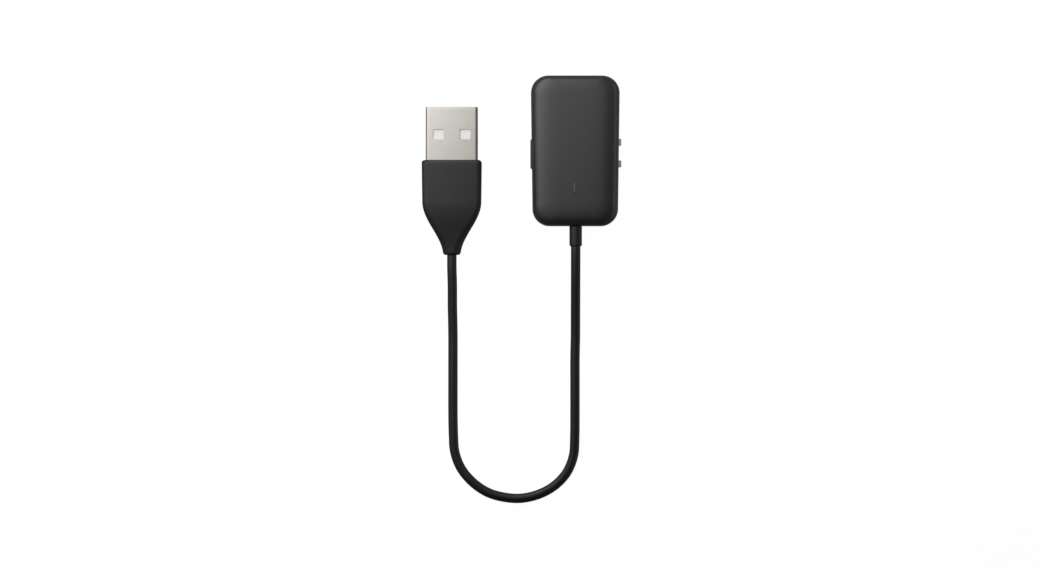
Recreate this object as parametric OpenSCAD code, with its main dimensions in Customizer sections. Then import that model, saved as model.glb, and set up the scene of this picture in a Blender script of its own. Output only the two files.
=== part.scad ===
// Charging cable for a fitness tracker: a clip-on pod with spring contacts and a latch,
// a short cable in a U loop, and a USB-A plug. Millimetres, +Z up, lying on a table.
// The origin is under the middle of the pod, on the table. The pod's contact side faces down.

/* [Pod] */
// Length of the pod along Y
pod_l = 34.7; // [34.4:0.1:36]
// Width of the pod at its middle
pod_w = 20.1; // [20:0.1:21]
// How much wider the far end is than the cable end
pod_taper = 0.7; // [0:0.1:1.2]
// Radius of the pod's corners, seen from above
pod_corner_r = 4; // [3:0.1:4.2]
// Wall thickness of both covers
wall = 1.2; // [1:0.1:1.3]
// Height of the pod's contact side above the table
face_z = 2.6; // [2.4:0.1:2.8]
// Height of the pod's top
pod_top_z = 10.2; // [10:0.1:11]

/* [Latch] */
// Travel of the button, which is also how far the prongs open
latch_travel = 0.8; // [0.5:0.1:0.8]
// Length of the button along the pod's side
button_l = 7.1; // [6:0.1:7.6]
// How far the button stands out of the pod
button_proud = 0.32; // [0.1:0.02:0.4]
// Width of each steel prong
prong_w = 1.45; // [1.2:0.05:1.8]
// Distance between the middles of the two prongs
prong_pitch = 5; // [4.4:0.1:5.4]

/* [Contacts] */
// Distance between two contact plungers
pin_pitch = 2.2; // [2.1:0.1:2.4]
// Travel of each plunger
pin_travel = 0.8; // [0.4:0.1:0.8]

/* [Cable] */
// Diameter of the cable
cable_d = 2.2; // [1.8:0.1:2.3]
// Diameter of each insulated wire
wire_d = 0.55; // [0.4:0.05:0.55]

/* [Plug] */
// Width of the USB-A shell
shell_w = 12; // [11.95:0.05:12.05]
// Height of the USB-A shell
shell_h = 4.5; // [4.45:0.05:4.55]
// Thickness of the shell's sheet metal
sheet = 0.3; // [0.25:0.05:0.3]
// Half the width of the overmold where the shell comes out
grip_half_w = 6.93; // [6.8:0.01:7.2]
// Height of the overmold
grip_h = 8; // [7.6:0.1:8.4]
// Length of the overmold
grip_l = 21.9; // [21.5:0.1:22.5]

/* [Hidden] */

$fn = 48;
eps = 0.01;

black_plastic = [0.13, 0.13, 0.135];
black_rubber = [0.09, 0.09, 0.095];
steel = [0.68, 0.68, 0.66];
gold = [0.86, 0.68, 0.32];
wire_colors = ["firebrick", [0.12, 0.12, 0.12], "seagreen", "whitesmoke"];

// Pod: heights of the stacked parts
floor_z = face_z + wall;
seam_z = 6;
side_top_z = 6.6;
seam_groove = 0.1;
base_edge_r = 0.9;
// The top rises steeply from the pod's sides and flattens out towards its middle
crown_rise = pod_top_z - side_top_z;
crown_bend = 5.5;
crown_swell = 2.7;
crown_steps = 12;
crown_end_w = 0.5;
// How far the rounding reaches in from the far end and the cable end, as shares of its reach from the sides
edge_far = 0.6;
edge_near = 0.9;

// Screws that hold the base cover to the top cover
screw_d = 1.4;
screw_head_d = 2.5;
screw_head_h = 0.7;
screw_l = 5.4;
screw_fit = 0.02;
screw_x = pod_w / 2 - 2.75;
screw_y = pod_l / 2 - 3.2;
post_d = 3;

// Latch: a slider along X, with the button at -X and the steel prongs at +X
latch_y = -0.5;
button_y = -0.7;
prong_y = -0.4;
button_top_z = 6.95;
latch_gap = 0.15;
slider_z = 4;
slider_top_z = 5.8;
slider_w = 7.8;
flange_w = 9.4;
flange_t = 0.7;
flange_gap = 0.1;
window_w = 2.2;
window_pitch = 4.8;
window_x0 = -6.8;
window_x1 = -0.9;
// Fixed posts that the springs push on
stop_x = -2.2;
stop_t = 1;
stop_w = 1.7;
// Ribs of the top cover beside the board, and the ends of the slider's guides
rib_x0 = 6.2;
rib_x1 = 6.9;
rib_pitch = 6.4;
guide_x1 = 5.4;
spring_d = 1.7;
steel_t = 0.55;
steel_z = 5;
steel_x = 1.2;
// The plate between the arms stays inside the wall when the latch is open
arm_x = pod_w / 2 - wall - latch_travel - 0.25;
prong_out_x = pod_w / 2 + 0.6;
prong_leg_t = 0.6;
barb = 0.5;
stud_d = 1.2;
stud_x = 3.4;
stud_pitch = 3.6;
slider_end_x = 5.2;
// Fixed hooks on the button's side
hook_x0 = 0.45 - pod_w / 2;
hook_t = 0.8;
hook_w = 2;

// Circuit board
board_z = 6.6;
board_t = 0.8;
board_top_z = board_z + board_t;
board_x = 6;
board_y0 = -10.2;
board_y1 = 12.4;
board_screw_x = 4.4;
board_screw_y = -8.4;
board_screw_d = 1;
board_boss_d = 2.4;

// Indicator slot in the top cover
light_x = -0.28;
light_y = -8.5;
light_l = 2.4;
light_w = 0.38;
light_gap = 0.02;
light_recess = 0.1;
ceiling_z = pod_top_z - wall;

// Contacts
pin_y = 9.5;
pin_count = 4;
block_l = 10.6;
block_w = 3.4;
block_z = 1.7;
block_flange = 0.7;
block_flange_t = 0.8;
barrel_d = 1.3;
barrel_bore = 1;
barrel_tail_d = 0.5;
lip_bore = 0.8;
lip_h = 0.25;
tip_d = 0.72;
tip_z = block_z - pin_travel - 0.05;
head_d = 0.94;
head_h = 0.8;
head_z = block_z + lip_h + 0.02;
barrel_top_z = 6.25;
pin_spring_d = 0.86;

// Strain relief in the pod's near wall, split by the seam
near_y = -pod_l / 2;
relief_x = 0.1;
relief_d = 2.9;
relief_l = 4.65;
relief_neck_d = 2.6;
relief_flange_d = 4.4;
relief_flange_t = 1;
jacket_fit = 0.01;
jacket_in_y = near_y + 3.3;

// Wires: their places in the jacket and on the board
wire_spread = 0.38;
wire_pad_pitch = 1.8;
wire_pad_y = -8.95;

// Plug: lies on the table beside the pod, with the mouth of the overmold at plug_y
plug_x = -28.5;
plug_y = -2.1;
plug_z = grip_h / 2;
shell_out = 12.25;
shell_in = 6;
shell_corner_r = 0.6;
latch_hole_x = 3.08;
latch_hole_y = 5.95;
latch_hole_w = 2.5;
latch_hole_l = 2.3;
tongue_t = 1.9;
tongue_recess = 0.7;
insulator_fit = 0.02;
contact_w = 1;
contact_t = 0.3;
contact_proud = 0.05;
tail_l = 1;
mold_l = 6.6;
mold_w = 10.4;
mold_h = 5.6;
mold_wall = 0.9;
crimp_d = 3.4;
crimp_l = 3.4;

// Route of the cable from the strain relief to the overmold, lying on the table between them.
// Each point is the middle of the cable.
cable_route = [
    [0.1, -22, 6], [0.1, -24, 5.9], [0.1, -28, 5.2], [0.1, -33, 3.7], [0.1, -38, 2.3],
    [0.1, -43, 1.4], [0, -48, 1.15], [0, -54, 1.15], [0, -60, 1.15], [-0.05, -66.2, 1.15],
    [-0.35, -70.5, 1.15], [-1.9, -74.4, 1.15], [-4.8, -77.5, 1.15], [-8.5, -79.5, 1.15],
    [-12.6, -80.4, 1.15], [-16.7, -80.1, 1.15], [-20.5, -78.9, 1.15], [-23.9, -76.5, 1.15],
    [-26.5, -73.3, 1.15], [-27.9, -69.5, 1.15], [-28.2, -65.4, 1.15], [-28.3, -60, 1.15],
    [-28.3, -54, 1.15], [-28.3, -48, 1.15], [-28.3, -42, 1.4], [-28.4, -36, 2.3],
    [-28.4, -31, 3.3], [-28.5, -27, 3.9], [-28.5, -24, 4]
];

// ---------- Shared shapes ----------

// Outline of the pod at height z, moved in by its own amount at the sides, far end and cable end
function half_w(y) = (pod_w + pod_taper * y / pod_l) / 2;
function arc(cx, cy, r, a0, z) =
    [for (i = [0:8]) let (a = a0 + i * 11.25) [cx + r * cos(a), cy + r * sin(a), z]];
function pod_ring(z, side, far, near, r) =
    let (y1 = pod_l / 2 - far, y0 = -pod_l / 2 + near, x1 = half_w(y1) - side, x0 = half_w(y0) - side)
    concat(arc(x1 - r, y1 - r, r, 0, z), arc(-x1 + r, y1 - r, r, 90, z),
           arc(-x0 + r, y0 + r, r, 180, z), arc(x0 - r, y0 + r, r, 270, z));
function even_ring(z, inset) = pod_ring(z, inset, inset, inset, pod_corner_r - inset);

// Closed skin over rings that all have the same number of points
module skin(rings) {
    n = len(rings[0]);
    last = len(rings) - 1;
    polyhedron(
        points = [for (r = rings) for (p = r) p],
        faces = concat(
            [[for (i = [0:n - 1]) i]],
            [[for (i = [n - 1:-1:0]) last * n + i]],
            [for (k = [0:last - 1]) for (i = [0:n - 1])
                [k * n + i, k * n + n + i, k * n + n + (i + 1) % n, k * n + (i + 1) % n]]
        ),
        convexity = 8
    );
}

// Rounded upper half of the pod above its seam, and the hollow inside it
function crown_rings(inset) =
    [for (i = [0:crown_steps])
        let (u = pow(i / crown_steps, crown_swell), k = (pod_w / 2 - inset - crown_end_w) * u)
        pod_ring(side_top_z - inset + crown_rise * pow(1 - pow(1 - u, crown_bend), 1 / crown_swell),
                 inset + k, inset + edge_far * k, inset + edge_near * k,
                 (pod_corner_r - inset) * (1 - 0.93 * u))];

// Points around the middle of a tube, for a direction that is never straight up
function unit(v) = v / norm(v);
function ring(p, dir, r, sides) =
    let (side = unit(cross(dir, [0, 0, 1])), up = cross(side, dir))
    [for (i = [0:sides - 1]) let (a = (i + 0.5) * 360 / sides) p + r * (cos(a) * up + sin(a) * side)];

function path_dir(path, i) =
    i == 0 ? unit(path[1] - path[0])
    : i == len(path) - 1 ? unit(path[i] - path[i - 1])
    : unit(path[i + 1] - path[i - 1]);

module tube(path, d, sides) {
    skin([for (i = [0:len(path) - 1]) ring(path[i], path_dir(path, i), d / 2, sides)]);
}

// Smooth curve through every point of a route
function route_at(route, i, t) =
    let (n = len(route) - 1, p = route[max(i - 1, 0)], q = route[i])
    let (r = route[i + 1], s = route[min(i + 2, n)])
    0.5 * (2 * q + (r - p) * t + (2 * p - 5 * q + 4 * r - s) * t * t + (3 * q - p - 3 * r + s) * t * t * t);
function smooth(route, steps) =
    concat([for (i = [0:len(route) - 2]) for (k = [0:steps - 1]) route_at(route, i, k / steps)],
           [route[len(route) - 1]]);

// Smooth curve from a to b that runs straight along +Y at both ends, and comes down on b by lift
function bend(a, b, reach_a, reach_b, lift) =
    let (p = a + [0, 0.15, 0], s = b - [0, 0.15, 0], q = p + [0, reach_a, 0], r = s - [0, reach_b, -lift])
    concat([a], [for (i = [0:8]) let (t = i / 8, u = 1 - t)
        u * u * u * p + 3 * u * u * t * q + 3 * u * t * t * r + t * t * t * s], [b]);

// Coil spring along +Z, standing on z = 0
module coil_spring(length, d, wire, turns, steps) {
    r = (d - wire) / 2;
    rise = (length - wire) / (turns * steps);
    pts = [for (i = [0:turns * steps])
        [r * cos(i * 360 / steps), r * sin(i * 360 / steps), wire / 2 + i * rise]];
    skin([for (i = [0:turns * steps])
        let (out = unit([pts[i][0], pts[i][1], 0]))
        [for (k = [0:4]) pts[i] + wire / 2 * (cos(k * 72) * [0, 0, 1] + sin(k * 72) * out)]]);
}

module at_each_screw() {
    for (sx = [-1, 1]) for (sy = [-1, 1]) translate([sx * screw_x, sy * screw_y, 0]) children();
}

module at_each_pin() {
    for (i = [0:pin_count - 1]) translate([(i - (pin_count - 1) / 2) * pin_pitch, pin_y, 0]) children();
}

module at_each_prong() {
    for (s = [-1, 1]) translate([0, prong_y + s * prong_pitch / 2, 0]) children();
}

module block(x0, x1, y0, y1, z0, z1) {
    translate([x0, y0, z0]) cube([x1 - x0, y1 - y0, z1 - z0]);
}

module along_y(x, y, z) {
    translate([x, y, z]) rotate([-90, 0, 0]) children();
}

// ---------- Pod covers ----------

// Space that the strain relief's neck and flange take in the near wall
module relief_seat() {
    along_y(relief_x, near_y - 1, seam_z) cylinder(d = relief_neck_d + 2 * jacket_fit, h = wall + 2);
    along_y(relief_x, near_y + wall, seam_z)
        cylinder(d = relief_flange_d + 2 * jacket_fit, h = relief_flange_t + jacket_fit);
}

// Window for the button in the left wall
module button_window(z0, z1) {
    block(-pod_w, -8, button_y - button_l / 2 - latch_gap, button_y + button_l / 2 + latch_gap, z0, z1);
}

// Slot for the indicator, with round ends, made larger all round by gap
module light_prism(z0, z1, gap) {
    translate([light_x, light_y, z0]) linear_extrude(z1 - z0) {
        square([light_w + 2 * gap, light_l - light_w], center = true);
        for (s = [-1, 1]) translate([0, s * (light_l - light_w) / 2]) circle(d = light_w + 2 * gap);
    }
}

module top_cover() {
    color(black_plastic) difference() {
        skin(concat([even_ring(seam_z, seam_groove), even_ring(seam_z + seam_groove, 0)], crown_rings(0)));
        difference() {
            skin(concat([even_ring(seam_z - 1, wall)], crown_rings(wall)));
            at_each_screw() translate([0, 0, seam_z - 2]) cylinder(d = post_d, h = pod_top_z);
            // Ribs that keep the slider down on both sides of the board
            for (s = [-1, 1]) translate([0, latch_y + s * rib_pitch / 2, 0])
                block(-rib_x1, -rib_x0, -0.5, 0.5, 0, pod_top_z);
            block(rib_x0, rib_x1, prong_y - 0.7, prong_y + 0.7, 0, pod_top_z);
        }
        at_each_screw() translate([0, 0, seam_z - 1]) cylinder(d = screw_d + screw_fit, h = 3.4);
        relief_seat();
        button_window(seam_z - 1, button_top_z + latch_gap);
        light_prism(seam_z, pod_top_z + 1, light_gap);
    }
}

module base_cover() {
    color(black_plastic) difference() {
        union() {
            difference() {
                skin(concat(
                    [for (a = [0:22.5:90])
                        even_ring(face_z + base_edge_r * (1 - cos(a)), base_edge_r * (1 - sin(a)))],
                    [even_ring(seam_z - seam_groove, 0), even_ring(seam_z, seam_groove)]
                ));
                skin([even_ring(floor_z, wall), even_ring(seam_z + 1, wall)]);
            }
            // Screw bosses, board bosses and the rib that backs the strain relief
            at_each_screw() translate([0, 0, floor_z - eps])
                cylinder(d = post_d, h = seam_z - floor_z + eps);
            for (s = [-1, 1]) translate([s * board_screw_x, board_screw_y, floor_z - eps])
                cylinder(d = board_boss_d, h = board_z - floor_z + eps);
            block(relief_x - 3, relief_x + 3, near_y + wall + relief_flange_t + jacket_fit,
                  near_y + wall + relief_flange_t + 0.8, floor_z - eps, seam_z);
            // Guides on both sides of the slider, and the posts that the springs push on
            for (s = [-1, 1]) {
                guide_y = latch_y + s * (slider_w / 2 + latch_gap + 0.4);
                block(-rib_x1, guide_x1, guide_y - 0.4, guide_y + 0.4, floor_z - eps, seam_z - 0.2);
                post_y = latch_y + s * window_pitch / 2;
                block(stop_x, stop_x + stop_t, post_y - stop_w / 2, post_y + stop_w / 2,
                      floor_z - eps, slider_top_z - 0.1);
            }
            fixed_hooks();
        }
        at_each_screw() {
            translate([0, 0, face_z - 1]) cylinder(d = screw_head_d + 0.2, h = 1 + screw_head_h + 0.1);
            translate([0, 0, face_z]) cylinder(d = screw_d + screw_fit, h = 6);
        }
        for (s = [-1, 1]) translate([s * board_screw_x, board_screw_y, floor_z])
            cylinder(d = board_screw_d + screw_fit, h = 4);
        relief_seat();
        along_y(relief_x, near_y, seam_z) cylinder(d = cable_d + 0.1, h = 5);
        button_window(slider_z - latch_gap, seam_z + 1);
        // Slot through the wall for each steel arm, and the groove that its leg runs down
        at_each_prong() {
            slot_w = prong_w + 2 * latch_gap;
            slot_top_z = steel_z + steel_t + latch_gap;
            block(8, pod_w, -slot_w / 2, slot_w / 2, steel_z - latch_gap, slot_top_z);
            block(prong_out_x - prong_leg_t - 0.3, pod_w, -slot_w / 2, slot_w / 2, face_z - 1, slot_top_z);
        }
        // Opening for the contact block
        block(-block_l / 2, block_l / 2, pin_y - block_w / 2, pin_y + block_w / 2, face_z - 1, floor_z + 1);
    }
}

// Two hooks that hold one side of the tracker, opposite the moving prongs
module fixed_hooks() {
    for (s = [-1, 1]) translate([0, prong_y + s * prong_pitch / 2, 0]) {
        block(hook_x0, hook_x0 + hook_t, -hook_w / 2, hook_w / 2, 0, floor_z);
        along_y(hook_x0 + hook_t, -hook_w / 2, 0) linear_extrude(hook_w)
            polygon([[-0.1, 0], [barb - 0.1, 0], [barb, -0.1], [barb, -0.5], [0, -1.1], [-0.1, -1.1]]);
    }
}

module base_screws() {
    color(steel) at_each_screw() difference() {
        union() {
            translate([0, 0, face_z + 0.1]) cylinder(d = screw_head_d, h = screw_head_h);
            translate([0, 0, face_z + 0.1]) cylinder(d = screw_d, h = screw_l);
        }
        // Cross recess
        for (a = [0, 90]) translate([0, 0, face_z + 0.3]) rotate([0, 0, a])
            cube([1.5, 0.3, 0.5], center = true);
    }
}

module light_pipe() {
    color([0.8, 0.82, 0.85]) {
        light_prism(ceiling_z - 0.3, pod_top_z - light_recess, 0);
        // Flange under the cover, and the foot that stands over the light
        translate([light_x, light_y, 0]) {
            block(-0.7, 0.7, -1.7, 1.7, ceiling_z - 0.7, ceiling_z - 0.3 + eps);
            block(-0.3, 0.3, -0.5, 0.5, board_top_z + 0.5, ceiling_z - 0.7 + eps);
        }
    }
}

// ---------- Circuit board ----------

module circuit_board() {
    color([0.1, 0.3, 0.16]) difference() {
        block(-board_x, board_x, board_y0, board_y1, board_z, board_top_z);
        for (s = [-1, 1]) translate([s * board_screw_x, board_screw_y, 0])
            cylinder(d = board_screw_d + 0.1, h = 20);
        at_each_pin() cylinder(d = barrel_tail_d + 0.1, h = 20);
    }
}

module board_screws() {
    color(steel) for (s = [-1, 1]) translate([s * board_screw_x, board_screw_y, 0]) difference() {
        union() {
            translate([0, 0, board_top_z]) cylinder(d = 2, h = 0.6);
            translate([0, 0, board_top_z - 2.8]) cylinder(d = board_screw_d, h = 3);
        }
        for (a = [0, 90]) translate([0, 0, board_top_z + 0.5]) rotate([0, 0, a])
            cube([1.2, 0.25, 0.4], center = true);
    }
}

module control_chip() {
    color([0.08, 0.08, 0.09]) block(-2, 2, 1.2, 5.2, board_top_z, board_top_z + 0.9);
}

// Small parts on the board: regulator, two capacitors and rows of resistors
module board_components() {
    color([0.35, 0.32, 0.28]) {
        block(-4.8, -2.8, -3.4, -0.4, board_top_z, board_top_z + 0.8);
        block(2.6, 4.8, -4, -1.8, board_top_z, board_top_z + 0.9);
        for (i = [0:3]) block(3.2, 4.2, 1 + i * 1.3, 1.5 + i * 1.3, board_top_z, board_top_z + 0.35);
        for (i = [0:3]) block(-4.2, -3.2, 1 + i * 1.3, 1.5 + i * 1.3, board_top_z, board_top_z + 0.35);
        for (i = [0:2]) block(-1.9 + i * 1.5, -0.9 + i * 1.5, -2, -1.5, board_top_z, board_top_z + 0.35);
    }
}

module status_led() {
    color("ivory") translate([light_x, light_y, board_top_z]) block(-0.3, 0.3, -0.5, 0.5, 0, 0.4);
}

// ---------- Contacts ----------

module contact_block() {
    fit = 0.03;
    x = block_l / 2 - fit;
    y = block_w / 2 - fit;
    flange_x = block_l / 2 + block_flange;
    flange_y = block_w / 2 + block_flange;
    color(black_plastic) difference() {
        translate([0, pin_y, 0]) {
            block(-x, x, -y, y, block_z, floor_z + eps);
            block(-flange_x, flange_x, -flange_y, flange_y, floor_z, floor_z + block_flange_t);
        }
        at_each_pin() cylinder(d = barrel_d, h = 20);
    }
}

module pin_barrels() {
    color(gold) at_each_pin() {
        difference() {
            translate([0, 0, block_z]) cylinder(d = barrel_d, h = board_z - block_z);
            translate([0, 0, block_z - 1]) cylinder(d = lip_bore, h = 2);
            translate([0, 0, block_z + lip_h])
                cylinder(d = barrel_bore, h = barrel_top_z - block_z - lip_h);
        }
        translate([0, 0, board_z - eps]) cylinder(d = barrel_tail_d, h = board_t + 0.4);
    }
}

module plunger(i) {
    color(gold) translate([(i - (pin_count - 1) / 2) * pin_pitch, pin_y, 0]) {
        translate([0, 0, tip_z]) rotate_extrude() {
            intersection() {
                translate([0, tip_d / 2]) circle(d = tip_d);
                square([tip_d, tip_d / 2]);
            }
            translate([0, tip_d / 2 - eps]) square([tip_d / 2, head_z - tip_z - tip_d / 2 + 2 * eps]);
        }
        translate([0, 0, head_z]) cylinder(d = head_d, h = head_h);
    }
}

module plunger_spring(i) {
    color(steel) translate([(i - (pin_count - 1) / 2) * pin_pitch, pin_y, head_z + head_h])
        coil_spring(barrel_top_z - head_z - head_h, pin_spring_d, 0.12, 6, 10);
}

// ---------- Latch ----------

module latch_slider() {
    button_x = -half_w(button_y) - button_proud;
    wall_x = -half_w(latch_y) + wall + flange_gap;
    color(black_plastic) difference() {
        union() {
            // Button head in the window, with rounded ends
            for (s = [-1, 1]) translate([0, button_y + s * (button_l / 2 - 0.6), slider_z]) {
                translate([button_x + 0.6, 0, 0]) cylinder(r = 0.6, h = button_top_z - slider_z);
                translate([button_x + 0.6, -0.6, 0]) cube([1.1, 1.2, button_top_z - slider_z]);
            }
            block(button_x, button_x + 1.7, button_y - button_l / 2 + 0.6, button_y + button_l / 2 - 0.6,
                  slider_z, button_top_z);
            translate([0, latch_y, 0]) {
                // Flange that stops the button inside the wall, and the body behind it
                block(wall_x, wall_x + flange_t, -flange_w / 2, flange_w / 2, slider_z, slider_top_z);
                block(wall_x - 0.6, 0.2, 0.4 - slider_w / 2, slider_w / 2 - 0.4, slider_z, slider_top_z);
                block(wall_x, 0.2, -slider_w / 2, slider_w / 2, slider_z, slider_top_z);
                // Low tail under the steel plate, with its studs
                block(0, slider_end_x, -slider_w / 2, slider_w / 2, slider_z, steel_z);
                for (s = [-1, 1]) translate([stud_x, s * stud_pitch / 2, steel_z - eps]) {
                    cylinder(d = stud_d, h = steel_t + eps);
                    translate([0, 0, steel_t + eps]) cylinder(d = stud_d + 0.6, h = 0.35);
                }
            }
        }
        // Windows for the springs
        for (s = [-1, 1]) translate([0, latch_y + s * window_pitch / 2, 0])
            block(window_x0, window_x1, -window_w / 2, window_w / 2, 0, 20);
    }
}

module latch_prongs() {
    color(steel) difference() {
        union() {
            plate_w = prong_pitch + prong_w;
            block(steel_x, arm_x, prong_y - plate_w / 2, prong_y + plate_w / 2, steel_z, steel_z + steel_t);
            at_each_prong() {
                block(arm_x - eps, prong_out_x - 0.3, -prong_w / 2, prong_w / 2, steel_z, steel_z + steel_t);
                // Leg down the outside, with a rounded shoulder and a hook at its foot
                along_y(prong_out_x, -prong_w / 2, 0) linear_extrude(prong_w) prong_profile();
            }
        }
        for (s = [-1, 1]) translate([stud_x, latch_y + s * stud_pitch / 2, 0])
            cylinder(d = stud_d + screw_fit, h = 20);
    }
}

// Side view of one prong's leg, with x measured from its outer face and y downwards
module prong_profile() {
    top = -steel_z - steel_t;
    shoulder = 0.5;
    polygon(concat(
        [[-prong_leg_t, 0], [-prong_leg_t - barb + 0.1, 0], [-prong_leg_t - barb, -0.1],
         [-prong_leg_t - barb, -0.45], [-prong_leg_t, -1.1], [-prong_leg_t, top + steel_t],
         [-1, top + steel_t], [-1, top]],
        [for (a = [0:15:90]) [-shoulder + shoulder * sin(a), top + shoulder - shoulder * cos(a)]],
        [[0, -0.2], [-0.2, 0]]
    ));
}

module latch_springs() {
    color(steel) for (s = [-1, 1])
        translate([window_x0, latch_y + s * window_pitch / 2, 4.9]) rotate([0, 90, 0])
            coil_spring(stop_x - window_x0, spring_d, 0.24, 6, 14);
}

// ---------- Cable at the pod ----------

module strain_relief() {
    round_r = 0.3;
    color(black_rubber) along_y(relief_x, near_y - relief_l, seam_z) rotate_extrude() difference() {
        union() {
            translate([0, round_r]) square([relief_d / 2, relief_l - round_r]);
            square([relief_d / 2 - round_r, relief_l]);
            translate([relief_d / 2 - round_r, round_r]) circle(r = round_r);
            square([relief_neck_d / 2, relief_l + wall + eps]);
            translate([0, relief_l + wall]) square([relief_flange_d / 2, relief_flange_t]);
        }
        translate([-5, -1]) square([5 + cable_d / 2, 20]);
    }
}

module pod_cable_end() {
    color(black_rubber) along_y(relief_x, near_y - relief_l, seam_z)
        cylinder(d = cable_d - 2 * jacket_fit, h = relief_l + jacket_in_y - near_y);
}

// Places of the four wires in the jacket: x and z from its middle
function wire_slot(i) = [(i < 2 ? -1 : 1) * wire_spread, (i % 2 == 0 ? 1 : -1) * wire_spread];

module pod_wire(i) {
    start = [relief_x + wire_slot(i)[0], jacket_in_y, seam_z + wire_slot(i)[1]];
    pad = [(i - 1.5) * wire_pad_pitch, wire_pad_y, board_top_z + wire_d / 2 + eps];
    // The two lower wires rise a little later, so that they stay clear of the upper two
    color(wire_colors[i]) tube(bend(start, pad, i % 2 == 0 ? 0.2 : 0.9, 3.2, 0.6), wire_d, 8);
}

module cable() {
    color(black_rubber) tube(smooth(cable_route, 2), cable_d, 8);
}

// ---------- Plug ----------

// Puts children in the plug's own place, with y = 0 at the overmold's mouth and +Y out of it
module in_plug() {
    translate([plug_x, plug_y, plug_z]) children();
}

// Section of the shell and of the space inside it
module shell_section(inset) {
    r = shell_corner_r - inset;
    for (s = [-1, 1]) for (t = [-1, 1])
        translate([s * (shell_w / 2 - shell_corner_r), t * (shell_h / 2 - shell_corner_r)]) circle(r = r);
    square([shell_w - 2 * inset, shell_h - 2 * shell_corner_r], center = true);
    square([shell_w - 2 * shell_corner_r, shell_h - 2 * inset], center = true);
}

module shell_prism(y0, y1, inset) {
    translate([0, y1, 0]) rotate([90, 0, 0]) linear_extrude(y1 - y0) shell_section(inset);
}

module plug_shell() {
    color([0.78, 0.77, 0.74]) in_plug() difference() {
        shell_prism(-shell_in, shell_out, 0);
        shell_prism(-shell_in - 1, shell_out + 1, sheet);
        for (s = [-1, 1]) translate([s * latch_hole_x, latch_hole_y, 0])
            cube([latch_hole_w, latch_hole_l, shell_h + 2], center = true);
    }
}

// Width of each contact's groove, and its place across the plug
contact_places = [-3.5, -1, 1, 3.5];

module plug_insulator() {
    top = shell_h / 2 - sheet - insulator_fit;
    side = shell_w / 2 - sheet - insulator_fit;
    color([0.94, 0.94, 0.92]) in_plug() difference() {
        union() {
            // Tongue along the top of the shell, and the block that fills the shell behind it
            block(-side + 0.25, side - 0.25, -1, shell_out - tongue_recess, top - tongue_t, top);
            intersection() {
                shell_prism(-shell_in, 0.6, sheet + insulator_fit);
                block(-side, side, -shell_in, 0.6, -shell_h, shell_h);
            }
        }
        // Grooves for the contacts
        groove_w = contact_w + 0.04;
        groove_top = top - tongue_t + contact_t - contact_proud + 0.02;
        for (x = contact_places) translate([x, 0, 0])
            block(-groove_w / 2, groove_w / 2, -shell_in - 1, contact_front(x) + 0.1,
                  top - tongue_t - 0.2, groove_top);
    }
}

// The two outer contacts reach further forward than the two inner ones
function contact_front(x) = abs(x) > 2 ? shell_out - 1.9 : shell_out - 2.9;

module plug_contacts() {
    low = shell_h / 2 - sheet - insulator_fit - tongue_t - contact_proud;
    color(gold) in_plug() for (x = contact_places) {
        block(x - contact_w / 2, x + contact_w / 2, -shell_in, contact_front(x), low, low + contact_t);
        // Solder tail behind the insulator
        block(x - 0.35, x + 0.35, -shell_in - tail_l, -shell_in + eps, low, low + contact_t);
    }
}

// Hollow inner mould that closes over the solder tails and the wires
module plug_inner_mold() {
    color([0.82, 0.82, 0.8]) in_plug() difference() {
        block(-mold_w / 2, mold_w / 2, -shell_in - mold_l, -shell_in, -mold_h / 2, mold_h / 2);
        hollow_x = mold_w / 2 - mold_wall;
        hollow_z = mold_h / 2 - mold_wall;
        block(-hollow_x, hollow_x, -shell_in - mold_l + mold_wall, -shell_in + 1, -hollow_z, hollow_z);
        along_y(0, -shell_in - mold_l - 1, 0) cylinder(d = cable_d, h = 5);
    }
}

module crimp_collar() {
    color([0.72, 0.72, 0.7]) in_plug() along_y(0, -shell_in - mold_l - crimp_l, 0) difference() {
        cylinder(d = crimp_d, h = crimp_l);
        translate([0, 0, -1]) cylinder(d = cable_d, h = crimp_l + 2);
    }
}

module plug_cable_end() {
    color(black_rubber) in_plug() along_y(0, -grip_l, 0)
        cylinder(d = cable_d - 2 * jacket_fit, h = grip_l - shell_in - mold_l + 2);
}

module plug_wire(i) {
    tail_x = contact_places[i];
    low = shell_h / 2 - sheet - insulator_fit - tongue_t - contact_proud;
    start = [wire_slot(i)[0], -shell_in - mold_l + 2, wire_slot(i)[1]];
    tail = [tail_x, -shell_in - tail_l - eps, low + contact_t / 2];
    color(wire_colors[i]) in_plug() tube(bend(start, tail, 1.2, 1, 0), wire_d, 8);
}

// Overmold: straight grip, then an S curve down to the cable.
// d is the distance from the mouth, and shrink runs from 1 on the grip to 0 at the tail.
grip_straight = 9.5;
grip_curve_l = 12.8;
tail_half = 2;
grip_edge_r = 1.1;
function shrink(d) = 0.5 + 0.5 * cos(180 * max(0, min(1, (d - grip_straight) / grip_curve_l)));
function grip_w_at(d) = tail_half + (grip_half_w - 0.013 * min(d, grip_straight) - tail_half) * shrink(d);
function grip_h_at(d) = tail_half + (grip_h / 2 - tail_half) * shrink(d);
function section_arc(cx, cz, r, a0, y) =
    [for (i = [0:6]) let (a = a0 + i * 15) [cx + r * cos(a), y, cz + r * sin(a)]];
function grip_ring(d, inset) =
    let (w = grip_w_at(d) - inset, h = grip_h_at(d) - inset, y = -d)
    let (r = min(w, h, grip_edge_r + (tail_half - grip_edge_r) * (1 - shrink(d))) - eps)
    concat(section_arc(w - r, h - r, r, 0, y), section_arc(r - w, h - r, r, 90, y),
           section_arc(r - w, r - h, r, 180, y), section_arc(w - r, r - h, r, 270, y));

mouth_r = 0.7;
tail_r = 0.6;

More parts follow.
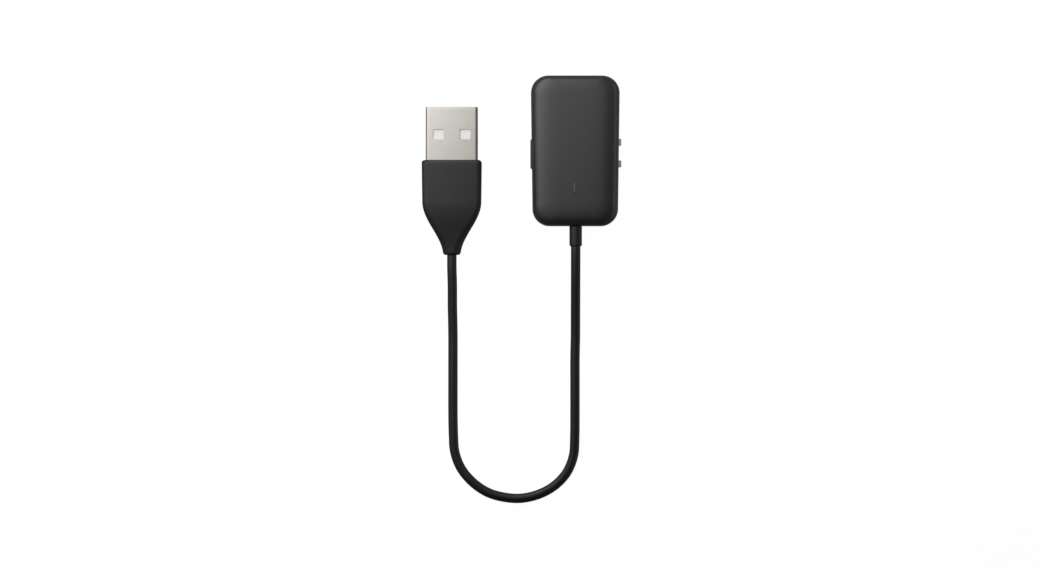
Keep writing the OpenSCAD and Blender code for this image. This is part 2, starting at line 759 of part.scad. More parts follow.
module plug_overmold() {
    color(black_rubber) in_plug() difference() {
        skin(concat(
            [for (a = [90:-30:0]) grip_ring(mouth_r * (1 - sin(a)), mouth_r * (1 - cos(a)))],
            [for (d = [3, 6.5, grip_straight]) grip_ring(d, 0)],
            [for (i = [1:13]) grip_ring(grip_straight + i * 0.9, 0)],
            [for (a = [30:30:90]) grip_ring(grip_l - tail_r * (1 - sin(a)), tail_r * (1 - cos(a)))]
        ));
        shell_prism(-shell_in, 1, 0);
        block(-mold_w / 2, mold_w / 2, -shell_in - mold_l, -shell_in + eps, -mold_h / 2, mold_h / 2);
        along_y(0, -shell_in - mold_l - crimp_l, 0) cylinder(d = crimp_d, h = crimp_l + eps);
        along_y(0, -grip_l - 1, 0) cylinder(d = cable_d, h = grip_l - shell_in - mold_l + 1 + eps);
    }
}

top_cover();
base_cover();
base_screws();
light_pipe();
circuit_board();
board_screws();
control_chip();
board_components();
status_led();
contact_block();
pin_barrels();
plunger(0);  // plunger_1
plunger(1);  // plunger_2
plunger(2);  // plunger_3
plunger(3);  // plunger_4
plunger_spring(0);  // plunger_spring_1
plunger_spring(1);  // plunger_spring_2
plunger_spring(2);  // plunger_spring_3
plunger_spring(3);  // plunger_spring_4
latch_slider();
latch_prongs();
latch_springs();
strain_relief();
pod_cable_end();
pod_wire(0);  // pod_red_wire
pod_wire(1);  // pod_black_wire
pod_wire(2);  // pod_green_wire
pod_wire(3);  // pod_white_wire
cable();
plug_cable_end();
plug_wire(0);  // plug_red_wire
plug_wire(1);  // plug_black_wire
plug_wire(2);  // plug_green_wire
plug_wire(3);  // plug_white_wire
crimp_collar();
plug_inner_mold();
plug_overmold();
plug_shell();
plug_insulator();
plug_contacts();
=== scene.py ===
import math

import bmesh
import bpy
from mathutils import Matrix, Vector


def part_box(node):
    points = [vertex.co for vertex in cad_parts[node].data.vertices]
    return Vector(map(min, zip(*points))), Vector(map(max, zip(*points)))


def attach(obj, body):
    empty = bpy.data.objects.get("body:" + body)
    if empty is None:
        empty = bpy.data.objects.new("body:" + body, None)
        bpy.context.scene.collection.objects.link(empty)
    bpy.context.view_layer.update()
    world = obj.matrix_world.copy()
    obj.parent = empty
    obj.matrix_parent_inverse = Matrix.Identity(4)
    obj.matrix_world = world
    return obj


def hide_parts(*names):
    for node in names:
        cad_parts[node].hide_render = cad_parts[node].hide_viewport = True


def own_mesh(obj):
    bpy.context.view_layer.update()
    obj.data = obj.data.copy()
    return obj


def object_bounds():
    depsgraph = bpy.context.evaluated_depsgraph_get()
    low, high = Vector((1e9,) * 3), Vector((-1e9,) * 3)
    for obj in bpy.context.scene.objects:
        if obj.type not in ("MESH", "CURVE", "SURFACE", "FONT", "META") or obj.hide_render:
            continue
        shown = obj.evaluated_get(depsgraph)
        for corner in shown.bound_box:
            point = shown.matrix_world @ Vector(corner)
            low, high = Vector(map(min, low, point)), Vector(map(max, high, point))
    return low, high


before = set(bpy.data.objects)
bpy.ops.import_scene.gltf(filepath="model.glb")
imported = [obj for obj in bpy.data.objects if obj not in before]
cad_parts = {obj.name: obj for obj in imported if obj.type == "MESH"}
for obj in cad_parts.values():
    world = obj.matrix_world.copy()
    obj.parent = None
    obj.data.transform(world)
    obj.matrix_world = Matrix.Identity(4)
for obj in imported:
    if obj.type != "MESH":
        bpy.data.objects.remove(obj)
cad_low, cad_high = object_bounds()

MM = 0.001
POD = "pod"
# Least clearance between fitted pieces, and how far joined shapes reach into each other
FIT = 0.01 * MM
OVERLAP = 0.1 * MM


# ---------- Places and sizes that come from the frame ----------

def size_of(node):
    """Lowest corner, highest corner and middle of a CAD node."""
    low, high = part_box(node)
    return Vector(low), Vector(high), (Vector(low) + Vector(high)) / 2


top_low, top_high, _ = size_of("top_cover")
relief_low, relief_high, relief_mid = size_of("strain_relief")
grip_low, grip_high, grip_mid = size_of("plug_overmold")
shell_low, shell_high, shell_mid = size_of("plug_shell")
slider_low, slider_high, _ = size_of("latch_slider")
_, prong_high, prong_mid = size_of("latch_prongs")
block_low, block_high, block_mid = size_of("contact_block")
light_mid = size_of("light_pipe")[2]
screws_high = size_of("base_screws")[1]
board_screws_high = size_of("board_screws")[1]
mold_low, mold_high, _ = size_of("plug_inner_mold")
crimp_low, crimp_high, _ = size_of("crimp_collar")

# The pod
SEAM_Z = top_low.z
NEAR_Y = top_low.y
POD_HALF_L = top_high.y
POD_TAPER = 0.7 * MM
CORNER_R = 4.0 * MM
WALL = 1.2 * MM
FACE_Z = 2.6 * MM
FLOOR_Z = FACE_Z + WALL
SIDE_TOP_Z = SEAM_Z + 0.6 * MM
SEAM_GROOVE = 0.1 * MM
BASE_EDGE_R = 0.9 * MM
COVER_SOFT = 0.08 * MM

# The top's rounding: its two curve exponents, the half width that is left at its end, and the share of
# the corner radius that it takes away
CROWN_BEND = 5.5
CROWN_SWELL = 2.7
CROWN_END_W = 0.5 * MM
CROWN_CORNER = 0.93
# How far it reaches in from the far end and the cable end, as shares of its reach from the sides
EDGE_FAR = 0.6
EDGE_NEAR = 0.9

# Screws, and the posts they go into
SCREW_HEAD_R = 1.25 * MM
SCREW_HOLE_R = 0.71 * MM
SCREW_HOLE_TOP_Z = SEAM_Z + 2.4 * MM
HEAD_HOLE_R = 1.35 * MM
HEAD_HOLE_DEPTH = 0.8 * MM
POST_R = 1.5 * MM
BOARD_HEAD_R = 1.0 * MM
BOARD_POST_R = 1.2 * MM
BOARD_POST_TOP_Z = SEAM_Z + 0.58 * MM

# The latch: clearance around it, its button and prongs, and the guides and spring stops in the base
GAP = 0.15 * MM
BUTTON_Y = -0.7 * MM
BUTTON_HALF_L = 3.55 * MM
PRONG_HALF_PITCH = 2.5 * MM
PRONG_HALF_W = 0.725 * MM
PRONG_SHEET = 0.55 * MM
PRONG_LEG_T = 0.6 * MM
SLIDER_Y = -0.5 * MM
GUIDE_OFFSET = 4.45 * MM
GUIDE_HALF_T = 0.4 * MM
GUIDE_X = (-6.9 * MM, 5.4 * MM)
GUIDE_TOP_Z = SEAM_Z - 0.2 * MM
STOP_OFFSET = 2.4 * MM
STOP_HALF_W = 0.85 * MM
STOP_X = (-2.2 * MM, -1.2 * MM)
STOP_TOP_Z = SEAM_Z - 0.3 * MM
# Cuts through the pod's side walls go from the first distance to the second
SIDE_CUT_X = (8 * MM, 20 * MM)

# The fixed hooks: distance from the pod's side, thickness, half width and how far the barb reaches in
HOOK_INSET = 0.45 * MM
HOOK_T = 0.8 * MM
HOOK_HALF_W = 1.0 * MM
BARB = 0.5 * MM

# The indicator's slot, which reaches a little past the near end of its light pipe
LIGHT_HALF_W = 0.21 * MM
LIGHT_HALF_L = 1.2 * MM
LIGHT_NEAR_GAP = 0.3 * MM

# The contacts
PINS = range(1, 5)
BARREL_R = 0.65 * MM
BLOCK_FLANGE = 0.7 * MM
BLOCK_FIT = 0.03 * MM
BLOCK_SOFT = 0.15 * MM

# Springs
SPRING_TURNS = 7
LATCH_WIRE = 0.24 * MM
CONTACT_WIRE = 0.12 * MM

# The strain relief: its sleeve, its neck in the pod's wall and the flange behind it
RELIEF_R = 1.45 * MM
RELIEF_END_R = 0.3 * MM
RELIEF_CHAMFER = 0.1 * MM
NECK_R = 1.31 * MM
FLANGE_R = 2.21 * MM

# The plug's shell, and the middle of a latch hole from the shell's middle line and the overmold's mouth
SHEET = 0.3 * MM
SHELL_R = 0.6 * MM
SHELL_BULGE = 0.07
SHELL_HALF_SEAM = 0.03 * MM
SHELL_SOFT = 0.04 * MM
HOLE_X = 3.08 * MM
HOLE_Y = 5.95 * MM
HOLE_HALF_W = 1.25 * MM
HOLE_HALF_L = 1.15 * MM
HOLE_R = 0.12 * MM

# The overmold: a straight part that narrows slightly, then an S curve down to its square tail
GRIP_STRAIGHT = 9.5 * MM
GRIP_TAPER = 0.013
GRIP_CURVE_L = 12.8 * MM
GRIP_BULGE = 0.08
GRIP_EDGE_R = 1.1 * MM
GRIP_MOUTH_R = 0.7 * MM
GRIP_TAIL_R = 0.6 * MM
GRIP_SOFT = 0.12 * MM
TAIL_HALF = 2.0 * MM

# The cable: its route is in metres, from the strain relief to the overmold
CABLE_D = 2.2 * MM
CABLE_ROUTE = [
    (0.0001, -0.022, 0.006), (0.0001, -0.024, 0.0059), (0.0001, -0.028, 0.0052),
    (0.0001, -0.033, 0.0037), (0.0001, -0.038, 0.0023), (0.0001, -0.043, 0.0014),
    (0.0, -0.048, 0.00115), (0.0, -0.054, 0.00115), (0.0, -0.06, 0.00115),
    (-5e-05, -0.0662, 0.00115), (-0.00035, -0.0705, 0.00115), (-0.0019, -0.0744, 0.00115),
    (-0.0048, -0.0775, 0.00115), (-0.0085, -0.0795, 0.00115), (-0.0126, -0.0804, 0.00115),
    (-0.0167, -0.0801, 0.00115), (-0.0205, -0.0789, 0.00115), (-0.0239, -0.0765, 0.00115),
    (-0.0265, -0.0733, 0.00115), (-0.0279, -0.0695, 0.00115), (-0.0282, -0.0654, 0.00115),
    (-0.0283, -0.06, 0.00115), (-0.0283, -0.054, 0.00115), (-0.0283, -0.048, 0.00115),
    (-0.0283, -0.042, 0.0014), (-0.0284, -0.036, 0.0023), (-0.0284, -0.031, 0.0033),
    (-0.0285, -0.027, 0.0039), (-0.0285, -0.024, 0.004),
]


# ---------- Camera ----------

# The picture's middle is a little right of the part's middle and beyond it
VIEW_SHIFT = (0.45 * MM, 1.1 * MM)
VIEW_Z = 5 * MM
VIEW_CENTRE = Vector((
    (cad_low.x + cad_high.x) / 2 + VIEW_SHIFT[0],
    (cad_low.y + cad_high.y) / 2 + VIEW_SHIFT[1],
    VIEW_Z,
))
# Width of the picture at that height
VIEW_WIDTH = 241.8 * MM
LENS = 135.0
SENSOR = 36.0


def make_camera():
    """Long lens that looks straight down."""
    data = bpy.data.cameras.new("camera")
    data.lens = LENS
    data.sensor_width = SENSOR
    data.clip_end = 10
    camera = link(bpy.data.objects.new("camera", data))
    camera.location = VIEW_CENTRE + Vector((0, 0, VIEW_WIDTH * LENS / SENSOR))
    bpy.context.scene.camera = camera


# ---------- Mesh helpers ----------

def link(obj):
    bpy.context.scene.collection.objects.link(obj)
    return obj


def mesh_object(name, points, faces):
    mesh = bpy.data.meshes.new(name)
    mesh.from_pydata([tuple(p) for p in points], [], faces)
    mesh.validate()
    obj = link(bpy.data.objects.new(name, mesh))
    face_out(obj)
    return obj


def face_out(obj):
    """Turns every face outwards."""
    bm = bmesh.new()
    bm.from_mesh(obj.data)
    bmesh.ops.recalc_face_normals(bm, faces=bm.faces)
    bm.to_mesh(obj.data)
    bm.free()


def loft(name, rings, closed=False):
    """Skin over rings of equally many points, capped at both ends or closed into a loop."""
    n = len(rings[0])
    count = len(rings)
    points = [p for ring in rings for p in ring]
    faces = []
    for k in range(count if closed else count - 1):
        a, b = k * n, (k + 1) % count * n
        faces += [[a + i, a + (i + 1) % n, b + (i + 1) % n, b + i] for i in range(n)]
    if not closed:
        faces.append(list(range(n)))
        faces.append(list(range((count - 1) * n, count * n)))
    return mesh_object(name, points, faces)


def box(low, high):
    """Plain box, used to cut or to build with."""
    (x0, y0, z0), (x1, y1, z1) = low, high
    bottom = [(x0, y0, z0), (x1, y0, z0), (x1, y1, z0), (x0, y1, z0)]
    top = [(x, y, z1) for x, y, _ in bottom]
    return loft("tool", [bottom, top])


def arc_angles(steps, degrees=90):
    """Angles from 0 to degrees in even steps, in radians."""
    return [math.radians(degrees) * i / steps for i in range(steps + 1)]


def circle_points(middle, axis, radius, sides):
    """Points of a circle around a middle point, square to an axis."""
    side = Vector(axis).orthogonal().normalized()
    up = Vector(axis).cross(side)
    turn = [2 * math.pi * i / sides for i in range(sides)]
    return [Vector(middle) + (side * math.cos(a) + up * math.sin(a)) * radius for a in turn]


def rod(start, end, radius, sides=64):
    """Plain cylinder between two points, used to cut or to build with."""
    axis = (Vector(end) - Vector(start)).normalized()
    return loft("tool", [circle_points(p, axis, radius, sides) for p in (start, end)])


def turned(name, start, profile, sides=96):
    """Piece turned around a line along +Y. Its closed profile holds distances from start and radii."""
    rings = []
    for y, r in profile:
        rings.append(circle_points(Vector(start) + Vector((0, y, 0)), (0, 1, 0), r, sides))
    return loft(name, rings, closed=True)


def section(half_w, half_h, r, bulge=0.0, steps=8):
    """Rounded rectangle of x and z, bulging above and below by a share of its height in the middle."""
    x_flat, z_flat = half_w - r, half_h - r
    corner = [(x_flat + r * math.cos(a), z_flat + r * math.sin(a)) for a in arc_angles(steps)]
    across_steps = 24
    across = [(x_flat * (1 - 2 * i / across_steps), half_h) for i in range(1, across_steps)]
    upper = corner + across + [(-x, z) for x, z in reversed(corner)]
    ring = upper + [(-x, -z) for x, z in upper]
    return [(x, z * (1 - bulge * (x / half_w) ** 2)) for x, z in ring]


def apply_modifiers(obj):
    """Keeps the shape that the object's modifiers give it, and drops them."""
    graph = bpy.context.evaluated_depsgraph_get()
    mesh = bpy.data.meshes.new_from_object(obj.evaluated_get(graph))
    obj.modifiers.clear()
    obj.data = mesh


def boolean(obj, tools, operation="DIFFERENCE"):
    """Cuts the tools from the object or joins them to it, and removes them."""
    for tool in tools:
        modifier = obj.modifiers.new("cut", "BOOLEAN")
        modifier.operation = operation
        modifier.solver = "EXACT"
        modifier.object = tool
    apply_modifiers(obj)
    for tool in tools:
        bpy.data.objects.remove(tool)
    return obj


def shade(obj, angle=30, weld=0.002 * MM):
    """Smooth shading, with a hard edge where faces meet at more than angle degrees."""
    bm = bmesh.new()
    bm.from_mesh(obj.data)
    bmesh.ops.remove_doubles(bm, verts=bm.verts, dist=weld)
    for face in bm.faces:
        face.smooth = True
    for edge in bm.edges:
        edge.smooth = len(edge.link_faces) == 2 and edge.calc_face_angle(0) < math.radians(angle)
    bm.to_mesh(obj.data)
    bm.free()


def soften(obj, width, segments=3, angle=40):
    """Rounds the hard edges by width."""
    modifier = obj.modifiers.new("soften", "BEVEL")
    modifier.width = width
    modifier.segments = segments
    modifier.limit_method = "ANGLE"
    modifier.angle_limit = math.radians(angle)
    modifier.use_clamp_overlap = True
    modifier.harden_normals = True


def dress(node, material, width):
    """Gives a CAD node its material and, where the width isn't 0, softly rounded edges."""
    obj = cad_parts[node]
    obj.data.materials.clear()
    obj.data.materials.append(material)
    if width:
        weld = obj.modifiers.new("weld", "WELD")
        weld.merge_threshold = 0.001 * MM
        soften(obj, width, segments=2, angle=35)


def finish_piece(obj, name, material, slot, *nodes):
    """Names a new piece, gives it its material, attaches it to the pod and hides the CAD nodes that it
    stands for.
    """
    obj.name = name
    obj.data.materials.clear()
    obj.data.materials.append(material)
    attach(obj, POD)
    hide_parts(*nodes)
    return obj


# ---------- Material helpers ----------

class Nodes:
    """A material's node tree, with short calls to add to it."""

    def __init__(self, name):
        self.material = bpy.data.materials.new(name)
        self.material.use_nodes = True
        self.tree = self.material.node_tree
        self.shader = self.tree.nodes["Principled BSDF"]
        self.place = self.add("ShaderNodeTexCoord").outputs["Object"]

    def add(self, kind, **values):
        node = self.tree.nodes.new(kind)
        for key, value in values.items():
            setattr(node, key, value)
        return node

    def join(self, output, socket):
        self.tree.links.new(output, socket)

    def set(self, **values):
        for key, value in values.items():
            self.shader.inputs[key.replace("_", " ")].default_value = value

    def stretched(self, scale):
        """Object coordinates stretched by a scale for each axis."""
        mapping = self.add("ShaderNodeMapping")
        mapping.inputs["Scale"].default_value = scale
        self.join(self.place, mapping.inputs["Vector"])
        return mapping.outputs["Vector"]

    def along(self, axis):
        """Object coordinate along X, Y or Z."""
        split = self.add("ShaderNodeSeparateXYZ")
        self.join(self.place, split.inputs["Vector"])
        return split.outputs[axis]

    def noise(self, size, detail=3.0, rough=0.55, where=None):
        """Noise with features of about this size in metres."""
        node = self.add("ShaderNodeTexNoise")
        node.inputs["Scale"].default_value = 1.0 / size
        node.inputs["Detail"].default_value = detail
        node.inputs["Roughness"].default_value = rough
        self.join(where or self.place, node.inputs["Vector"])
        return node.outputs["Fac"]

    def spread(self, value, low, high, start=0.3, end=0.7):
        """Maps a value from start..end to low..high."""
        node = self.add("ShaderNodeMapRange")
        node.inputs["From Min"].default_value = start
        node.inputs["From Max"].default_value = end
        node.inputs["To Min"].default_value = low
        node.inputs["To Max"].default_value = high
        self.join(value, node.inputs["Value"])
        return node.outputs["Result"]

    def blend(self, value, first, second, start=0.3, end=0.7):
        """Colour that goes from first to second with value."""
        node = self.add("ShaderNodeValToRGB")
        node.color_ramp.elements[0].position = start
        node.color_ramp.elements[1].position = end
        node.color_ramp.elements[0].color = (*first, 1)
        node.color_ramp.elements[1].color = (*second, 1)
        self.join(value, node.inputs["Fac"])
        return node.outputs["Color"]

    def mix(self, factor, first, second):
        node = self.add("ShaderNodeMix", data_type="RGBA")
        color_sockets = [socket for socket in node.inputs if socket.type == "RGBA"]
        self.join(factor, node.inputs[0])
        for socket, value in zip(color_sockets, (first, second)):
            if isinstance(value, tuple):
                socket.default_value = (*value, 1)
            else:
                self.join(value, socket)
        return [socket for socket in node.outputs if socket.type == "RGBA"][0]

    def math(self, operation, first, second):
        node = self.add("ShaderNodeMath", operation=operation)
        for socket, value in zip(node.inputs, (first, second)):
            if isinstance(value, (int, float)):
                socket.default_value = value
            else:
                self.join(value, socket)
        return node.outputs["Value"]

    def bump(self, height, depth, strength=1.0, below=None):
        """Bump of a real depth in metres, on top of another bump if one is given."""
        node = self.add("ShaderNodeBump")
        node.inputs["Strength"].default_value = strength
        node.inputs["Distance"].default_value = depth
        self.join(height, node.inputs["Height"])
        if below is not None:
            self.join(below, node.inputs["Normal"])
        return node.outputs["Normal"]


def moulded(name, dark, light, rough, grain, depth, ior=1.5):
    """Moulded plastic or rubber: fine spark grain, faint mottling and uneven gloss."""
    mottle_w, gloss_w, gloss_range = 2.6 * MM, 1.3 * MM, 0.03
    n = Nodes(name)
    mottle = n.noise(mottle_w, 4)
    n.join(n.blend(mottle, dark, light), n.shader.inputs["Base Color"])
    gloss = n.spread(n.noise(gloss_w, 5), rough - gloss_range, rough + gloss_range)
    n.join(gloss, n.shader.inputs["Roughness"])
    fine = n.bump(n.noise(grain, 2, 0.6), depth)
    n.join(n.bump(mottle, depth * 2, 0.5, fine), n.shader.inputs["Normal"])
    n.set(IOR=ior)
    return n


def metal(name, color, worn, rough, brush, depth, line_w=0.12 * MM):
    """Plated or stamped metal: fine lines stretched by the brush scale, stains and uneven gloss."""
    stain_w = 1.6 * MM
    n = Nodes(name)
    lines = n.noise(line_w, 4, 0.7, n.stretched(brush))
    stain = n.noise(stain_w, 5)
    n.join(n.blend(stain, color, worn), n.shader.inputs["Base Color"])
    gloss = n.math("ADD", n.spread(lines, -0.02, 0.03), n.spread(stain, rough - 0.01, rough + 0.02))
    n.join(gloss, n.shader.inputs["Roughness"])
    n.join(n.bump(lines, depth), n.shader.inputs["Normal"])
    n.set(Metallic=1.0)
    return n


def board_mask():
    """Solder mask over copper traces, which stand a little proud of the board."""
    trace_pitch, trace_h = 2.4 * MM, 0.02 * MM
    n = Nodes("solder_mask")
    grid = n.add("ShaderNodeTexBrick")
    grid.inputs["Scale"].default_value = 1 / trace_pitch
    grid.inputs["Mortar Size"].default_value = 0.06
    grid.inputs["Color1"].default_value = (0.02, 0.12, 0.05, 1)
    grid.inputs["Color2"].default_value = (0.02, 0.1, 0.045, 1)
    grid.inputs["Mortar"].default_value = (0.05, 0.2, 0.08, 1)
    n.join(n.place, grid.inputs["Vector"])
    n.join(grid.outputs["Color"], n.shader.inputs["Base Color"])
    n.join(n.bump(grid.outputs["Fac"], trace_h), n.shader.inputs["Normal"])
    n.join(n.spread(n.noise(1.1 * MM), 0.28, 0.4), n.shader.inputs["Roughness"])
    return n


def gold_plate(name):
    return metal(name, (0.83, 0.6, 0.24), (0.74, 0.51, 0.2), rough=0.22, brush=(1, 1, 0.3),
                 depth=0.0008 * MM)


def gold_with_worn_tip(name, tip_z, worn_h):
    """Gold plate whose rubbed lower end shows a little nickel."""
    n = gold_plate(name)
    rubbed = n.spread(n.along("Z"), 1, 0, tip_z, tip_z + worn_h)
    patches = n.math("MULTIPLY", rubbed, n.spread(n.noise(0.25 * MM, 4), 0.2, 1))
    gold_color = n.shader.inputs["Base Color"].links[0].from_socket
    n.join(n.mix(patches, gold_color, (0.72, 0.66, 0.55)), n.shader.inputs["Base Color"])
    return n


def insulation(name, color):
    dark = tuple(0.75 * c for c in color)
    return moulded(name, dark, color, rough=0.38, grain=0.12 * MM, depth=0.002 * MM)


black_pc = moulded("black_polycarbonate", (0.0115, 0.0115, 0.0118), (0.0135, 0.0135, 0.0138),
                   rough=0.36, grain=0.1 * MM, depth=0.0012 * MM, ior=1.62).material
black_polymer = moulded("black_polymer", (0.014, 0.014, 0.0143), (0.017, 0.017, 0.0173),
                        rough=0.4, grain=0.09 * MM, depth=0.0014 * MM, ior=1.62).material
overmold_tpe = moulded("overmold_tpe", (0.0085, 0.0085, 0.0088), (0.0105, 0.0105, 0.0108),
                       rough=0.42, grain=0.12 * MM, depth=0.0016 * MM, ior=1.43).material
cable_tpe = moulded("cable_tpe", (0.0075, 0.0075, 0.0078), (0.0095, 0.0095, 0.0098),
                    rough=0.42, grain=0.15 * MM, depth=0.0016 * MM, ior=1.48).material
white_lcp = moulded("white_lcp", (0.74, 0.735, 0.725), (0.78, 0.775, 0.765),
                    rough=0.45, grain=0.12 * MM, depth=0.002 * MM).material
natural_pe = moulded("natural_pe", (0.6, 0.6, 0.57), (0.7, 0.7, 0.67),
                     rough=0.5, grain=0.15 * MM, depth=0.003 * MM).material
chip_resin = moulded("chip_resin", (0.02, 0.02, 0.022), (0.03, 0.03, 0.032),
                     rough=0.55, grain=0.05 * MM, depth=0.002 * MM).material
ceramic = moulded("component_ceramic", (0.25, 0.2, 0.15), (0.36, 0.3, 0.24),
                  rough=0.4, grain=0.06 * MM, depth=0.002 * MM).material
led_lens = moulded("led_lens", (0.8, 0.78, 0.68), (0.88, 0.86, 0.78),
                   rough=0.25, grain=0.2 * MM, depth=0.001 * MM).material
smoked = moulded("smoked_polycarbonate", (0.07, 0.07, 0.073), (0.085, 0.085, 0.088),
                 rough=0.3, grain=0.15 * MM, depth=0.0008 * MM, ior=1.62).material
shell_metal = metal("shell_nickel", (0.42, 0.403, 0.374), (0.405, 0.388, 0.36), rough=0.26,
                    brush=(1, 0.05, 1), depth=0.00005 * MM, line_w=0.4 * MM).material
steel = metal("stainless_steel", (0.5, 0.49, 0.47), (0.42, 0.41, 0.39), rough=0.28,
              brush=(0.1, 1, 1), depth=0.0012 * MM).material
screw_steel = metal("zinc_steel", (0.56, 0.56, 0.57), (0.44, 0.44, 0.45), rough=0.33,
                    brush=(1, 1, 0.2), depth=0.0015 * MM).material
spring_steel = metal("spring_steel", (0.5, 0.5, 0.51), (0.4, 0.4, 0.4), rough=0.3,
                     brush=(1, 1, 1), depth=0.001 * MM).material
gold = gold_plate("gold_plate").material
plunger_gold = gold_with_worn_tip("plunger_gold", size_of("plunger_1")[0].z, 0.3 * MM).material
solder_mask = board_mask().material


# ---------- Outline of the pod ----------

def arc(cx, cy, r, start, z, steps=14):
    """Quarter circle at height z that starts at an angle in degrees."""
    angles = [math.radians(start + 90 * i / steps) for i in range(steps + 1)]
    return [(cx + r * math.cos(a), cy + r * math.sin(a), z) for a in angles]


def half_width(y):
    """Half the pod's width at y: the far end is wider than the cable end."""
    return top_high.x + POD_TAPER * (y / POD_HALF_L - 1) / 4


def pod_ring(z, side, far, near, r):
    """Outline of the pod at height z, moved in by its own amount at each edge."""
    y1, y0 = POD_HALF_L - far, near - POD_HALF_L
    x1, x0 = half_width(y1) - side, half_width(y0) - side
    return (arc(x1 - r, y1 - r, r, 0, z) + arc(r - x1, y1 - r, r, 90, z)
            + arc(r - x0, y0 + r, r, 180, z) + arc(x0 - r, y0 + r, r, 270, z))


def even_ring(z, inset):
    return pod_ring(z, inset, inset, inset, CORNER_R - inset)


def crown_rings(inset, steps):
    """Outlines from the pod's side over its rounded edge to the middle of its low crown."""
    rings = []
    for i in range(steps + 1):
        u = (i / steps) ** CROWN_SWELL
        rise = (top_high.z - SIDE_TOP_Z) * (1 - (1 - u) ** CROWN_BEND) ** (1 / CROWN_SWELL)
        move = (half_width(0) - inset - CROWN_END_W) * u
        rings.append(pod_ring(SIDE_TOP_Z - inset + rise, inset + move, inset + EDGE_FAR * move,
                              inset + EDGE_NEAR * move, (CORNER_R - inset) * (1 - CROWN_CORNER * u)))
    return rings


def screw_places():
    """Middles of the four base screws."""
    x, y = screws_high.x - SCREW_HEAD_R, screws_high.y - SCREW_HEAD_R
    return [(sx * x, sy * y) for sx in (-1, 1) for sy in (-1, 1)]


def upright(x, y, low_z, high_z, radius, sides=48):
    """Plain upright cylinder, used to cut or to build with."""
    return rod((x, y, low_z), (x, y, high_z), radius, sides)


def button_window(low_z, high_z):
    """Opening for the button in the left wall."""
    half_l = BUTTON_HALF_L + GAP
    near_x, far_x = SIDE_CUT_X
    return box((-far_x, BUTTON_Y - half_l, low_z), (-near_x, BUTTON_Y + half_l, high_z))


def gland():
    """Space for the strain relief's neck and flange in the near wall."""
    x, wall_in = relief_mid.x, NEAR_Y + WALL
    neck = rod((x, NEAR_Y - MM, SEAM_Z), (x, wall_in + MM, SEAM_Z), NECK_R)
    flange = rod((x, wall_in, SEAM_Z), (x, relief_high.y + FIT, SEAM_Z), FLANGE_R)
    return [neck, flange]


# ---------- Pod ----------

def make_top_shell():
    """Top cover: a shell with four screw posts, the indicator's slot and its share of the openings."""
    seam = [even_ring(SEAM_Z, SEAM_GROOVE), even_ring(SEAM_Z + SEAM_GROOVE, 0)]
    shell = loft("pod_top", seam + crown_rings(0, steps=36))
    hollow = loft("tool", [even_ring(SEAM_Z - MM, WALL)] + crown_rings(WALL, steps=14))
    boolean(hollow, [upright(x, y, SEAM_Z - 2 * MM, top_high.z, POST_R) for x, y in screw_places()])
    cuts = [hollow, button_window(SEAM_Z - MM, slider_high.z + GAP), light_slot()] + gland()
    for x, y in screw_places():
        cuts.append(upright(x, y, SEAM_Z - MM, SCREW_HOLE_TOP_Z, SCREW_HOLE_R, 32))
    boolean(shell, cuts)
    soften(shell, COVER_SOFT)
    shade(shell)
    return shell


def light_slot():
    """Slot with round ends for the indicator, cut through the top."""
    middle_y = light_mid.y + LIGHT_HALF_L - LIGHT_HALF_W
    far = [(light_mid.x + LIGHT_HALF_W * math.cos(a), middle_y + LIGHT_HALF_W * math.sin(a))
           for a in arc_angles(12, 180)]
    near = [(2 * light_mid.x - x, 2 * light_mid.y - y - LIGHT_NEAR_GAP) for x, y in far]
    heights = (top_high.z - 3 * MM, top_high.z + MM)
    return loft("tool", [[(x, y, z) for x, y in far + near] for z in heights])


def make_base_shell():
    """Base cover: a shell with its hooks and inner supports, and openings for all that shows below."""
    outer = [even_ring(FACE_Z + BASE_EDGE_R * (1 - math.cos(a)), BASE_EDGE_R * (1 - math.sin(a)))
             for a in arc_angles(12)]
    outer += [even_ring(SEAM_Z - SEAM_GROOVE, 0), even_ring(SEAM_Z, SEAM_GROOVE)]
    shell = loft("pod_base", outer)
    boolean(shell, [loft("tool", [even_ring(FLOOR_Z, WALL), even_ring(SEAM_Z + MM, WALL)])])
    boolean(shell, base_inner_supports(FLOOR_Z - 2 * OVERLAP) + fixed_hooks(), "UNION")
    cuts = gland() + [button_window(slider_low.z - GAP, SEAM_Z + MM)]
    for x, y in screw_places():
        cuts.append(upright(x, y, FACE_Z - MM, FACE_Z + HEAD_HOLE_DEPTH, HEAD_HOLE_R))
        cuts.append(upright(x, y, FACE_Z, SEAM_Z + MM, SCREW_HOLE_R, 32))
    cuts += prong_slots() + [contact_body(0, FACE_Z - MM, FLOOR_Z + MM)]
    boolean(shell, cuts)
    soften(shell, COVER_SOFT)
    shade(shell)
    return shell


def prong_slots():
    """For each prong, a slot for its arm through the right wall and one below for its leg."""
    half_w, top_z = PRONG_HALF_W + GAP, prong_high.z + GAP
    near_x, far_x = SIDE_CUT_X
    slots = []
    for y in (prong_mid.y - PRONG_HALF_PITCH, prong_mid.y + PRONG_HALF_PITCH):
        for x, low_z in ((near_x, prong_high.z - PRONG_SHEET - GAP),
                         (prong_high.x - PRONG_LEG_T - 2 * GAP, FACE_Z - MM)):
            slots.append(box((x, y - half_w, low_z), (far_x, y + half_w, top_z)))
    return slots


def contact_body(fit, low_z, high_z):
    """The contact block without its flange, or, with no fit, the opening that it goes through."""
    half_l = block_high.x - BLOCK_FLANGE - fit
    half_w = (block_high.y - block_low.y) / 2 - BLOCK_FLANGE - fit
    return box((-half_l, block_mid.y - half_w, low_z), (half_l, block_mid.y + half_w, high_z))


